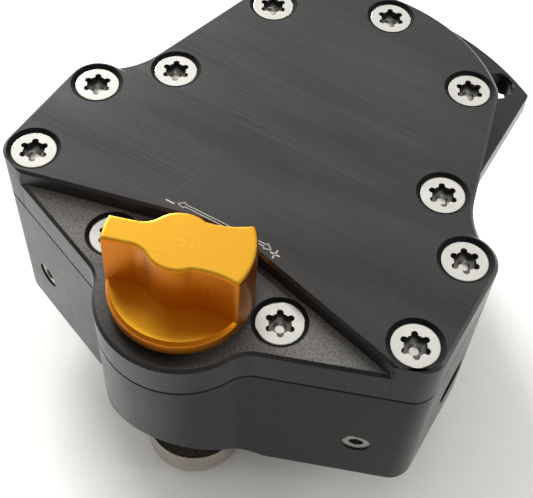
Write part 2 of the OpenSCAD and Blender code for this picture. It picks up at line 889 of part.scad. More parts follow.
module rod_end_lock_nut() {
    color("#c2a44e")
        on_arm()
            translate([0, -arm_reach, arm_z])
                rotate([90, 0, 0])
                    difference() {
                        rotate(30) cylinder(d = nut_af / cos(30), h = nut_t, $fn = 6);
                        translate([0, 0, -over]) cylinder(r = rod_r + seat_gap, h = nut_t + 2 * over);
                    }
}

// Sub-parts of the adjuster

// Plan of the grip: a round middle, a narrow end that points along -X and a waisted wide end along +X.
// The hollows at the neck cross their neighbours by a hair, so that no two curves only touch.
module grip_outline() {
    tip = grip_tip_w / 2;
    nip = 0.02;
    reach = grip_mid_r + grip_neck_r - nip;
    neck_y = tip + grip_neck_r - nip;
    neck_x = sqrt(reach * reach - neck_y * neck_y);
    side_y = grip_waist_w / 2 + grip_side_r;
    intersection() {
        circle(r = knob_r);
        union() {
            circle(r = grip_mid_r);
            translate([-knob_d, -tip]) square([knob_d, grip_tip_w]);
            difference() {
                polygon([[0, 0], [-neck_x, neck_y], [-neck_x, -neck_y]]);
                for (s = [-1, 1]) translate([-neck_x, s * neck_y]) circle(r = grip_neck_r);
            }
            difference() {
                translate([0, -grip_mid_r]) square([knob_d, 2 * grip_mid_r]);
                for (s = [-1, 1]) translate([grip_waist_x, s * side_y]) circle(r = grip_side_r);
            }
        }
    }
}

module adjuster_knob() {
    dish_lip = knob_r - knob_bevel;
    land = 0.2;
    dish_mid = dish_lip * 0.62;
    dish_half = dish_lip - land - dish_mid;
    dish_rise = sqrt(dish_r * dish_r - dish_half * dish_half);
    color("#e0a020")
        on_knob()
            difference() {
                union() {
                    translate([0, 0, knob_z])
                        rotate_extrude()
                            difference() {
                                polygon([
                                    [0, 0], [knob_r, 0], [knob_r, knob_base_t - knob_bevel],
                                    [dish_lip, knob_base_t], [0, knob_base_t]
                                ]);
                                translate([dish_mid, knob_base_t + dish_rise]) circle(r = dish_r);
                            }
                    translate([0, 0, knob_z]) linear_extrude(knob_h) grip_outline();
                }
                translate([0, 0, knob_z - over])
                    cylinder(r = spindle_r + seat_gap, h = spindle_reach + over + end_gap);
                translate([0, 0, grub_z]) rotate([-90, 0, 0]) cylinder(r = grub_r + seat_gap, h = knob_r);
                translate([click_track_r, 0, knob_z - over])
                    cylinder(r = click_pocket_r, h = click_pocket_top - knob_z + over);
            }
}

module knob_grub_screw() {
    color("#55585c")
        on_knob()
            translate([0, spindle_r + end_gap + grub_len, grub_z])
                rotate([0, 0, 90]) set_screw(grub_r, grub_len);
}

module adjuster_spindle() {
    color("#c4c7ca")
        at_knob() {
            translate([0, 0, drive_low]) cylinder(d = drive_thread_d, h = flange_z - drive_low + over);
            translate([0, 0, flange_z]) cylinder(d = flange_d, h = flange_t);
            translate([0, 0, flange_z]) cylinder(r = spindle_r, h = spindle_top - flange_z);
        }
}

module spindle_seal_ring() {
    color("#101010")
        at_knob() translate([0, 0, spindle_seal_z]) round_ring(spindle_seal_r, spindle_seal_section);
}

module spindle_thrust_ring() {
    color("#b08d57")
        at_knob() ring(drive_thread_d / 2 + 0.6, valve_well_r - seat_gap, thrust_ring_z, thrust_ring_h);
}

module metering_plunger() {
    head_w = guide_w - 2 * run_gap;
    color("#a8abb0")
        at_knob()
            difference() {
                union() {
                    translate([0, 0, plunger_low])
                        cylinder(r = valve_r - run_gap, h = plunger_head_z - plunger_low + over);
                    translate([-head_w / 2, -head_w / 2, plunger_head_z])
                        cube([head_w, head_w, plunger_head_h]);
                }
                translate([0, 0, drive_low - plunger_room])
                    cylinder(r = drive_thread_d / 2 + run_gap, h = body_h);
            }
}

// A fixed plate with a ball track and a dimple for each click
module click_plate() {
    color("#17181a")
        on_knob()
            difference() {
                ring(spindle_r + screw_gap, click_plate_d / 2, click_floor, click_plate_t);
                translate([0, 0, click_z]) round_ring(click_track_r, click_ball_d + 4 * run_gap);
                for (i = [0:clicks - 1])
                    rotate(i * 360 / clicks)
                        translate([click_track_r, 0, click_z - click_ball_r])
                            cylinder(r = click_ball_r / 2, h = click_ball_r);
            }
}

module click_ball() {
    color("#d9d9d6") on_knob() translate([click_track_r, 0, click_z]) sphere(r = click_ball_r);
}

// The spring is hidden in its pocket, so it is drawn as a plain sleeve
module click_spring() {
    wire = 0.35;
    low = click_z + click_ball_r;
    color("#8c8f93")
        on_knob()
            translate([click_track_r, 0, 0])
                ring(click_ball_r - 2 * wire, click_ball_r - wire / 2, low, click_pocket_top - low);
}

// Passage plugs

module wing_plug() {
    sink = 0.3;
    at = wing_plug_at - sink * front_n;
    translate([at[0], at[1], passage_z])
        rotate([0, 0, atan2(front_n[1], front_n[0])]) set_screw(wing_plug_d / 2, wing_plug_len);
}

module side_plug() {
    at = side_plug_at - side_plug_sink * cross_u;
    translate([at[0], at[1], passage_z])
        rotate([0, 0, atan2(cross_u[1], cross_u[0])]) set_screw(side_plug_d / 2, side_plug_len);
}

module wing_plug_left() {
    color("#3f4145") mirror([1, 0, 0]) wing_plug();
}

module wing_plug_right() {
    color("#3f4145") wing_plug();
}

module side_plug_left() {
    color("#3f4145") mirror([1, 0, 0]) side_plug();
}

module side_plug_right() {
    color("#3f4145") side_plug();
}

// Lowers a sub-part so that the tongue's underside lies at z = 0
module placed() {
    translate([0, 0, -tongue_low]) children();
}

placed() body_housing();
placed() top_cover();
placed() cover_seal_ring();
placed() valve_seal_ring();
placed() corner_screws();
placed() rim_screws();
placed() valve_screws();
placed() upper_shaft_bush();
placed() lower_shaft_bush();
placed() shaft_lip_seal();
placed() seal_circlip();
placed() vane_shaft();
placed() vane_blade();
placed() vane_tip_seal();
placed() link_arm();
placed() arm_clamp_screw();
placed() rod_end_body();
placed() rod_end_race();
placed() rod_end_ball();
placed() rod_end_lock_nut();
placed() adjuster_knob();
placed() knob_grub_screw();
placed() adjuster_spindle();
placed() spindle_seal_ring();
placed() spindle_thrust_ring();
placed() metering_plunger();
placed() click_plate();
placed() click_ball();
placed() click_spring();
placed() wing_plug_left();
placed() wing_plug_right();
placed() side_plug_left();
placed() side_plug_right();
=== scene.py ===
"""Looks of a rotary steering damper for a motorcycle.

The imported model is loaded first. Each sub-assembly is then dressed by its own
class: its edges are broken as a cutter would break them, and each part gets a
procedural material named for what it is made of. Sizes are in millimetres in
the part's own frame: the origin is midway between the two mounting holes, +Z
is up to the knob and +Y points away from it.
"""
from __future__ import annotations

import json
import logging
import math
from dataclasses import dataclass
from enum import Enum

import bpy
from mathutils import Matrix, Vector


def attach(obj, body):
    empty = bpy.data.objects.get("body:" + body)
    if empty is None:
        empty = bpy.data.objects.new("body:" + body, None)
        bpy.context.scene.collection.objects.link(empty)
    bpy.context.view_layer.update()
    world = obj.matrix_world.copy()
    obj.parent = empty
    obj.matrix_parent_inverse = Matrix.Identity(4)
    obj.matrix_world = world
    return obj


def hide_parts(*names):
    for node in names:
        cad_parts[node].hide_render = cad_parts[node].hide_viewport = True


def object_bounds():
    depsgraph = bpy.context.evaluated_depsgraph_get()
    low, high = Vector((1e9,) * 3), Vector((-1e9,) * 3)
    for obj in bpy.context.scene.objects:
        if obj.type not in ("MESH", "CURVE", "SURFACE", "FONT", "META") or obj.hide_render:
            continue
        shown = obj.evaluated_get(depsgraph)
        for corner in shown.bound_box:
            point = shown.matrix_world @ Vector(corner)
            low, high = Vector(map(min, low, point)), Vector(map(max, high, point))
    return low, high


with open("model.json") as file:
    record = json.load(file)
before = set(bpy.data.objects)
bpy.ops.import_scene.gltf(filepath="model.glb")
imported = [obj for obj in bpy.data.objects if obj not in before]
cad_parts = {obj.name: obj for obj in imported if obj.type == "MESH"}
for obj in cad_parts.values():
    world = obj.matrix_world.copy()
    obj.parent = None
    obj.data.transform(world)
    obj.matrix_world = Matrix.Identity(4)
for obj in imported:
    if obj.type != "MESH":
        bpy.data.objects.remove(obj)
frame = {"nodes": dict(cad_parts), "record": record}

MM = 0.001
CAD_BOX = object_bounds()
# Face attribute that is one in countersinks and sockets, which get painted shade, and nought
# elsewhere.
RECESS_SHADE = "recess_shade"
log = logging.getLogger("steering_damper")

# A shader node and the output of it that feeds a socket.
Feed = tuple[bpy.types.Node, int | str]
# Two ends of a range.
Span = tuple[float, float]
WHOLE: Span = (0.0, 1.0)
# Layers of ever finer noise: few for an even grain, more for cloudy patches.
EVEN, GRAINY, CLOUDY = 2.0, 3.0, 4.0


def hex_linear(code: str) -> tuple[float, float, float, float]:
    """Turn a screen colour into the linear one that a shader uses, by the sRGB curve.

    Args:
        code: Six hexadecimal digits after a hash sign.

    Returns:
        Linear red, green, blue and an alpha of one.
    """
    parts = [int(code[i:i + 2], 16) / 255 for i in (1, 3, 5)]
    lin = [p / 12.92 if p <= 0.04045 else ((p + 0.055) / 1.055) ** 2.4 for p in parts]
    return lin[0], lin[1], lin[2], 1.0


def add_node(tree: bpy.types.NodeTree, kind: str, settings: dict, links: dict) -> bpy.types.Node:
    """Add a shader node with its settings and links.

    Args:
        tree: The material's node tree.
        kind: Blender's name for the node.
        settings: Values for its sockets, by name or number, and for its own options.
        links: For a socket, the node and the output that feed it.

    Returns:
        The new node.
    """
    node = tree.nodes.new(kind)
    for name, value in settings.items():
        if isinstance(name, int) or name in node.inputs:
            node.inputs[name].default_value = value
        else:
            setattr(node, name, value)
    for socket, (source, output) in links.items():
        tree.links.new(source.outputs[output], node.inputs[socket])
    return node


def add_math(tree: bpy.types.NodeTree, operation: str, *terms: float | Feed) -> Feed:
    """Add a calculation.

    Args:
        tree: The material's tree.
        operation: Blender's name for it.
        terms: A number or a feed for each socket in turn.

    Returns:
        Its result.
    """
    fixed = {i: term for i, term in enumerate(terms) if not isinstance(term, tuple)}
    fed = {i: term for i, term in enumerate(terms) if isinstance(term, tuple)}
    return add_node(tree, "ShaderNodeMath", {"operation": operation, **fixed}, fed), 0


def add_range(tree: bpy.types.NodeTree, value: Feed, source: Span, target: Span = WHOLE) -> Feed:
    """Carry a value from one range to another.

    Args:
        tree: The material's tree.
        value: The value.
        source: Ends of the range that it is read in.
        target: Ends of the range that it is carried to.

    Returns:
        The carried value.
    """
    return add_node(tree, "ShaderNodeMapRange",
                    {"From Min": source[0], "From Max": source[1],
                     "To Min": target[0], "To Max": target[1]}, {"Value": value}), 0


def add_noise(tree: bpy.types.NodeTree, place: Feed, size_mm: float, detail: float,
              dimensions: str = "3D") -> Feed:
    """Add noise.

    Args:
        tree: The material's tree.
        place: Where it is read: coordinates, or one length for noise along a line.
        size_mm: Size of its grains.
        detail: Finer layers on top of them.
        dimensions: Blender's name for their number: 3D, or 1D along a line.

    Returns:
        The noise, about one half on average.
    """
    socket = "W" if dimensions == "1D" else "Vector"
    return add_node(tree, "ShaderNodeTexNoise",
                    {"noise_dimensions": dimensions, "Scale": 1 / (size_mm * MM),
                     "Detail": detail}, {socket: place}), 0


def add_stretch(tree: bpy.types.NodeTree, place: Feed, scale: tuple[float, ...]) -> Feed:
    """Scale coordinates, so that what is drawn on them gets longer along an axis."""
    return add_node(tree, "ShaderNodeMapping", {"Scale": scale}, {"Vector": place}), "Vector"


def mix_values(tree: bpy.types.NodeTree, share: Feed, low: Feed, high: Feed) -> Feed:
    """Mix two values: the first one at a share of nought, the second one at one."""
    return add_node(tree, "ShaderNodeMix", {}, {0: share, 2: low, 3: high}), 0


def mix_colours(tree: bpy.types.NodeTree, share: Feed, low: str | Feed, high: str | Feed) -> Feed:
    """Mix two colours.

    Args:
        tree: The material's tree.
        share: How much of the second one is taken.
        low: The first one, as a screen colour or a feed.
        high: The second one.

    Returns:
        The mixed colour.
    """
    settings: dict = {"data_type": "RGBA"}
    links = {0: share}
    for socket, end in ((6, low), (7, high)):
        if isinstance(end, str):
            settings[socket] = hex_linear(end)
        else:
            links[socket] = end
    return add_node(tree, "ShaderNodeMix", settings, links), 2


def upright_share(tree: bpy.types.NodeTree) -> Feed:
    """Give the upright share of the surface's normal: one on a level face."""
    facing = add_node(tree, "ShaderNodeNewGeometry", {}, {})
    return add_node(tree, "ShaderNodeSeparateXYZ", {}, {0: (facing, "Normal")}), "Z"


def deselect() -> None:
    """Clear the selection, so that an operator works on what is picked next."""
    bpy.ops.object.select_all(action="DESELECT")


def activate(obj: bpy.types.Object) -> None:
    """Select one object alone and make it the active one."""
    deselect()
    obj.select_set(True)
    bpy.context.view_layer.objects.active = obj


class Slot(Enum):
    """Material slots of the part's record."""

    BLACK = "black_anodised"
    BRUSHED = "black_anodised_brushed"
    GOLD = "gold_anodised"
    STAINLESS = "stainless"
    GROUND = "ground_steel"
    ZINC = "zinc_steel"
    SPRING = "spring_steel"
    OXIDE = "black_oxide"
    BRONZE = "bronze"
    RUBBER = "black_rubber"
    PLASTIC = "seal_plastic"


class Body(Enum):
    """Bodies of the part's record that dressed pieces ride on."""

    HOUSING = "housing"
    ARM = "arm"
    ROD_BALL = "rod_ball"
    KNOB = "knob"


@dataclass(frozen=True)
class Finish:
    """A machined or moulded surface with grain, worn tone and uneven gloss.

    Attributes:
        name: The real material.
        colour: Screen colour of its clean face.
        worn: Screen colour in its lighter patches.
        metallic: Zero for a dyed oxide film, rubber or plastic, one for bare metal.
        roughness: Middle of the gloss range.
        spread: How far the gloss swings around its middle.
        grain_mm: Size of the grain; drawn coarser than real, to show at this picture size.
        depth_mm: Height of the grain.
        stretch: Share of the grain's size kept along X, Y and Z; a small one makes streaks.
        ior: Refractive index of a film; bare metal keeps the default.
        recess_shade: Screen colour of the painted shade in countersinks and sockets; empty for
            none.
        recess_rough: Roughness there.
        bump: Strength of the grain's relief.
        patch_mm: Size of the broad patches.
        gloss_span: Values of the noise where the surface is smoothest and where it is roughest.
    """

    name: str
    colour: str
    worn: str
    metallic: float
    roughness: float
    spread: float
    grain_mm: float
    depth_mm: float
    stretch: tuple[float, float, float] = (1.0, 1.0, 1.0)
    ior: float = 1.5
    recess_shade: str = ""
    recess_rough: float = 0.95
    bump: float = 0.6
    patch_mm: float = 6.0
    gloss_span: Span = (0.6, 1.4)

    def start(self) -> tuple[bpy.types.Material, bpy.types.NodeTree, Feed]:
        """Make an empty material.

        Returns:
            The material, its tree and the object's own coordinates.
        """
        made = bpy.data.materials.new(self.name)
        made.use_nodes = True
        tree = made.node_tree
        tree.nodes.clear()
        return made, tree, (add_node(tree, "ShaderNodeTexCoord", {}, {}), "Object")

    def gloss(self, tree: bpy.types.NodeTree, noise: Feed) -> Feed:
        """Give the roughness, uneven as the noise that it follows."""
        ends = (self.roughness - self.spread, self.roughness + self.spread)
        return add_range(tree, noise, self.gloss_span, ends)

    def close(self, tree: bpy.types.NodeTree, colour: Feed, rough: Feed, height: Feed) -> None:
        """Join colour, gloss and height into the surface.

        Args:
            tree: The material's tree.
            colour: The colour.
            rough: The roughness.
            height: The grain's height, in shares of its depth.
        """
        # Painted shade: countersinks and sockets are darkened and dulled.
        if self.recess_shade:
            shade_mask = (add_node(tree, "ShaderNodeAttribute", {"attribute_name": RECESS_SHADE}, {}), "Fac")
            colour = mix_colours(tree, shade_mask, colour, self.recess_shade)
            dull = add_node(tree, "ShaderNodeMix", {3: self.recess_rough}, {0: shade_mask, 2: rough})
            rough = (dull, 0)
        relief = add_node(tree, "ShaderNodeBump",
                          {"Strength": self.bump, "Distance": self.depth_mm * MM},
                          {"Height": height})
        shader = add_node(tree, "ShaderNodeBsdfPrincipled",
                          {"Metallic": self.metallic, "IOR": self.ior},
                          {"Base Color": colour, "Roughness": rough, "Normal": (relief, "Normal")})
        add_node(tree, "ShaderNodeOutputMaterial", {}, {"Surface": (shader, "BSDF")})

    def build(self) -> bpy.types.Material:
        """Make the material from grain and broad patches.

        Returns:
            The finished material.
        """
        made, tree, place = self.start()
        grain = add_noise(tree, add_stretch(tree, place, self.stretch), self.grain_mm, GRAINY)
        patch = add_noise(tree, place, self.patch_mm, CLOUDY)
        tone = mix_colours(tree, patch, self.colour, self.worn)
        mixed = add_math(tree, "ADD", grain, patch)
        self.close(tree, tone, self.gloss(tree, mixed), grain)
        return made


@dataclass(frozen=True)
class CoverFinish(Finish):
    """Black anodised cover, with a different cutter's marks on each of its levels.

    Attributes:
        patch_mm: Size of the broad patches.
        patch_share: Share of their size kept along X, which makes them long.
        gloss_span: Values of the noise where the surface is smoothest and where it is roughest.
        worn_span: Values of the noise at the clean and at the worn colour.
        tier_z: Level in front, cut with a fine grain.
        far_z: Level round the far screws, brushed along X.
        band_z: Level across the middle, brushed too, with the arcs that an end mill leaves.
        level_tol: How far from its height a level still counts.
        level_up: Upright share of the normal from which a face counts as level.
        brush_mm: Width of a brushed streak.
        brush_share: Share of that width kept along X, which makes streaks.
        mill_r: Radius of the arcs.
        mill_y: Line that the mill's centre ran along.
        mill_mm: Distance from one arc to the next.
        arc_share: How much of the arcs shows through the brushing.
        cut_share: Weight of the cutter's marks against the patches.
        step_deg: Slope of the step between the tier and the band.
        step_at: Distance of that step from the origin, square to it.
        line_gap: Distance from the step to the thin line the cutter left beside it.
        line_half: Half that line's width.
        line: Its screen colour.
        painted_sheen: Screen colour of a painted reflection that lightens the tier towards its two
            ends, broken by the grain.
        sheen_mm: Distance from the middle where the painted reflection begins and where it is
            full.
        sheen_span: Values of the grain where the painted reflection is least and where it is most.
        sheen_range: Strength of the painted reflection at those values.
    """

    patch_mm: float = 9.0
    patch_share: float = 0.25
    gloss_span: Span = (0.55, 1.25)
    worn_span: Span = (0.6, 1.15)
    tier_z: float = 12.2
    far_z: float = 13.8
    band_z: float = 15.4
    level_tol: float = 0.15
    level_up: float = 0.9
    brush_mm: float = 0.35
    brush_share: float = 0.012
    mill_r: float = 16.0
    mill_y: float = -59.0
    mill_mm: float = 0.7
    arc_share: float = 0.25
    cut_share: float = 0.8
    step_deg: float = 14.0
    step_at: float = 63.16
    line_gap: float = 1.2
    line_half: float = 0.09
    line: str = "#6e6e6c"
    painted_sheen: str = "#6e6c6a"
    sheen_mm: Span = (5.0, 20.0)
    sheen_span: Span = (0.3, 0.7)
    sheen_range: Span = (0.35, 1.25)

    def level(self, tree: bpy.types.NodeTree, apart: bpy.types.Node, z: float) -> Feed:
        """Give one on the flat at height z and nought elsewhere.

        Args:
            tree: The material's tree.
            apart: Node with the coordinates taken apart.
            z: Height of the flat in millimetres.

        Returns:
            One or nought.
        """
        near = add_math(tree, "COMPARE", (apart, "Z"), z * MM, self.level_tol * MM)
        upward = add_math(tree, "GREATER_THAN", upright_share(tree), self.level_up)
        return add_math(tree, "MULTIPLY", near, upward)

    def arcs(self, tree: bpy.types.NodeTree, apart: bpy.types.Node) -> Feed:
        """Make the arcs of an end mill that ran along X.

        Args:
            tree: The material's tree.
            apart: Node with the coordinates taken apart.

        Returns:
            Noise that changes from one arc to the next.
        """
        off = add_math(tree, "ADD", (apart, "Y"), -self.mill_y * MM)
        square = add_math(tree, "MULTIPLY", off, off)
        rest = add_math(tree, "SUBTRACT", (self.mill_r * MM) ** 2, square)
        sag = add_math(tree, "SQRT", rest)
        along = add_math(tree, "SUBTRACT", (apart, "X"), sag)
        return add_noise(tree, along, self.mill_mm, GRAINY, "1D")

    def witness(self, tree: bpy.types.NodeTree, apart: bpy.types.Node, side: Feed) -> Feed:
        """Give one on the thin line beside the step, on both slopes of the chevron.

        Args:
            tree: The material's tree.
            apart: Node with the coordinates taken apart.
            side: Distance from the plane of symmetry.

        Returns:
            One or nought.
        """
        slope = math.radians(self.step_deg)
        across = add_math(tree, "MULTIPLY", side, -math.sin(slope))
        ahead = add_math(tree, "MULTIPLY_ADD", (apart, "Y"), -math.cos(slope), across)
        line_at = (self.step_at + self.line_gap) * MM
        return add_math(tree, "COMPARE", ahead, line_at, self.line_half * MM)

    def build(self) -> bpy.types.Material:
        """Make the cover's material, level by level.

        Returns:
            The finished material.
        """
        made, tree, place = self.start()
        apart = add_node(tree, "ShaderNodeSeparateXYZ", {}, {0: place})
        side = add_math(tree, "ABSOLUTE", (apart, "X"))
        streak = add_stretch(tree, place, (self.brush_share, 1.0, 1.0))
        brush = add_noise(tree, streak, self.brush_mm, GRAINY)
        grain = add_noise(tree, place, self.grain_mm, EVEN)
        drawn_out = add_stretch(tree, place, (self.patch_share, 1.0, 1.0))
        patch = add_noise(tree, drawn_out, self.patch_mm, GRAINY)
        far = self.level(tree, apart, self.far_z)
        band = self.level(tree, apart, self.band_z)
        tier = self.level(tree, apart, self.tier_z)
        brushed = add_math(tree, "MAXIMUM", far, band)
        ground = mix_values(tree, brushed, grain, brush)
        faint = add_math(tree, "MULTIPLY", band, self.arc_share)
        cut = mix_values(tree, faint, ground, self.arcs(tree, apart))
        mixed = add_math(tree, "MULTIPLY_ADD", cut, self.cut_share, patch)
        worn = add_range(tree, mixed, self.worn_span)
        tone = mix_colours(tree, worn, self.colour, self.worn)
        line = add_math(tree, "MULTIPLY", self.witness(tree, apart, side), tier)
        lined = mix_colours(tree, line, tone, self.line)
        # Painted reflection: the tier lightens towards its two ends, as if the room's light
        # gleamed there, and the grain breaks it up.
        near_end = add_range(tree, side, (self.sheen_mm[0] * MM, self.sheen_mm[1] * MM))
        outer = add_math(tree, "MULTIPLY", near_end, tier)
        uneven = add_range(tree, grain, self.sheen_span, self.sheen_range)
        painted_sheen = add_math(tree, "MULTIPLY", uneven, outer)
        toned = mix_colours(tree, painted_sheen, lined, self.painted_sheen)
        self.close(tree, toned, self.gloss(tree, mixed), cut)
        return made


@dataclass(frozen=True)
class KnobFinish(Finish):
    """Gold anodised knob, with painted shade that makes its turned sides a deeper orange than its
    paler flat top, and a painted highlight on its dished base.

    Attributes:
        side: Screen colour of the painted shade on the sides.
        side_shade_up: Upright share of the normal at the deepest painted shade and where it ends.
        axis_y: Where the knob's axis stands.
        pip_mm: Radius of the small mark that the lathe left at the top's centre.
        pip_half: Half the width of that mark's ring.
        pip_depth: Its depth, in shares of the grain's.
        top_z: Height of the flat top.
        top_tol: How far from its height the top still counts.
        turned_mm: Distance between the lathe's rings.
        turned_share: Weight of those rings against the grain.
        gloss_span: Values of the noise where the surface is smoothest and where it is roughest.
        dish: Screen colour of the slightly dished base, lighter than the top: a painted highlight
            where the grip casts its shade.
        base_z: Height of the base's land.
    """

    side: str = "#bc6e14"
    side_shade_up: Span = (0.74, 0.96)
    axis_y: float = -78.4
    pip_mm: float = 0.7
    pip_half: float = 0.18
    pip_depth: float = 6.0
    top_z: float = 26.9
    top_tol: float = 0.1
    turned_mm: float = 0.5
    turned_share: float = 0.5
    gloss_span: Span = (0.5, 1.0)
    dish: str = "#e0a42c"
    base_z: float = 16.25

    def build(self) -> bpy.types.Material:
        """Make the knob's material.

        Returns:
            The finished material.
        """
        made, tree, place = self.start()
        moved = add_node(tree, "ShaderNodeMapping", {"Location": (0, -self.axis_y * MM, 0)},
                         {"Vector": place})
        apart = add_node(tree, "ShaderNodeSeparateXYZ", {}, {0: (moved, "Vector")})
        flat = add_node(tree, "ShaderNodeCombineXYZ", {}, {0: (apart, "X"), 1: (apart, "Y")})
        length = add_node(tree, "ShaderNodeVectorMath", {"operation": "LENGTH"}, {0: (flat, 0)})
        radius = (length, "Value")
        turned = add_noise(tree, radius, self.turned_mm, EVEN, "1D")
        grain = add_noise(tree, place, self.grain_mm, GRAINY)
        ring = add_math(tree, "COMPARE", radius, self.pip_mm * MM, self.pip_half * MM)
        top = add_math(tree, "COMPARE", (apart, "Z"), self.top_z * MM, self.top_tol * MM)
        pip = add_math(tree, "MULTIPLY", ring, top)
        both = add_math(tree, "MULTIPLY_ADD", turned, self.turned_share, grain)
        height = add_math(tree, "MULTIPLY_ADD", pip, -self.pip_depth, both)
        # Painted highlight: faces below the base's land take a lighter colour.
        low = add_math(tree, "LESS_THAN", (apart, "Z"), self.base_z * MM)
        pale = mix_colours(tree, grain, self.colour, self.worn)
        faced = mix_colours(tree, low, pale, self.dish)
        # Painted shade: the less upright a face is, the more it takes the darker side colour.
        tone = mix_colours(tree, add_range(tree, upright_share(tree), self.side_shade_up),
                           self.side, faced)
        self.close(tree, tone, self.gloss(tree, both), height)
        return made


# The dyed oxide film mirrors a little of the room and gives back almost no light of its own; its
# countersinks get a near-black painted shade.
COVER = CoverFinish("black_anodised_aluminium_brushed", "#0a0a09", "#2b2927", 0.0, 0.3, 0.05,
                    0.35, 0.008, ior=1.38, recess_shade="#030303")
BODY = Finish("black_anodised_aluminium_milled", "#0d0d0c", "#141413", 0.0, 0.28, 0.05,
              0.5, 0.002, (0.15, 0.15, 1.0), 1.34)
# The gold dye tints what the metal below it mirrors, so the knob shines in its own colour.
GOLD = KnobFinish("gold_anodised_aluminium", "#b88522", "#c0902e", 1.0, 0.34, 0.06, 0.3, 0.006)
# Bright stainless with fine turning marks: white glints broken by a soft grain; its sockets get a
# grey painted shade.
STAINLESS = Finish("stainless_steel", "#bdbcb6", "#a3a29c", 1.0, 0.26, 0.08, 0.3, 0.008,
                   recess_shade="#5c5a57", recess_rough=0.4)
# Ground steel is greyer and streaked along its axis.
GROUND = Finish("ground_steel", "#b4b6b8", "#9fa1a3", 1.0, 0.26, 0.06, 0.25, 0.004,
                (1.0, 1.0, 0.1))
# Zinc plate that has aged is warm grey, with soft cloudy patches.
ZINC = Finish("zinc_plated_steel", "#cdc4ba", "#a99e93", 1.0, 0.24, 0.09, 0.6, 0.008)
# Oiled spring steel is dark and fairly smooth.
SPRING = Finish("oiled_spring_steel", "#7d7f82", "#66686b", 1.0, 0.3, 0.06, 0.4, 0.006)
# Black oxide leaves the steel nearly black, with a dull oily gleam.
OXIDE = Finish("black_oxide_steel", "#1a1a1b", "#262627", 0.0, 0.4, 0.08, 0.35, 0.008, ior=1.7)
# Bearing bronze, dulled by oil.
BRONZE = Finish("bearing_bronze", "#6b4a2a", "#54391f", 1.0, 0.36, 0.08, 0.4, 0.008)
# Nitrile rubber is matt and dark.
RUBBER = Finish("nitrile_rubber", "#151515", "#1e1e1e", 0.0, 0.7, 0.08, 0.3, 0.01)
# Filled seal plastic is pale and waxy.
PLASTIC = Finish("filled_seal_plastic", "#e4dfd2", "#d2ccbd", 0.0, 0.5, 0.06, 0.5, 0.008)
# A laser burns the dye off and leaves a light grey frosted line.
LASER = Finish("laser_marked_oxide", "#a9a9a4", "#8f8f8b", 0.0, 0.6, 0.1, 0.2, 0.004)
# A matt white paper sweep, so that nothing but soft white light comes from below.
PAPER = Finish("white_paper_sweep", "#fafaf8", "#f5f5f3", 0.0, 0.8, 0.04, 2.0, 0.01)

FINISHES: dict[Slot, Finish] = {
    Slot.BLACK: BODY, Slot.BRUSHED: COVER, Slot.GOLD: GOLD, Slot.STAINLESS: STAINLESS,
    Slot.GROUND: GROUND, Slot.ZINC: ZINC, Slot.SPRING: SPRING, Slot.OXIDE: OXIDE,
    Slot.BRONZE: BRONZE, Slot.RUBBER: RUBBER, Slot.PLASTIC: PLASTIC}


@dataclass(frozen=True)
class Edge:
    """An outer edge of a part.

    Attributes:
        middle: Its middle, in millimetres.
        flat: Largest upright share of its two faces' normals.
    """

    middle: Vector
    flat: float


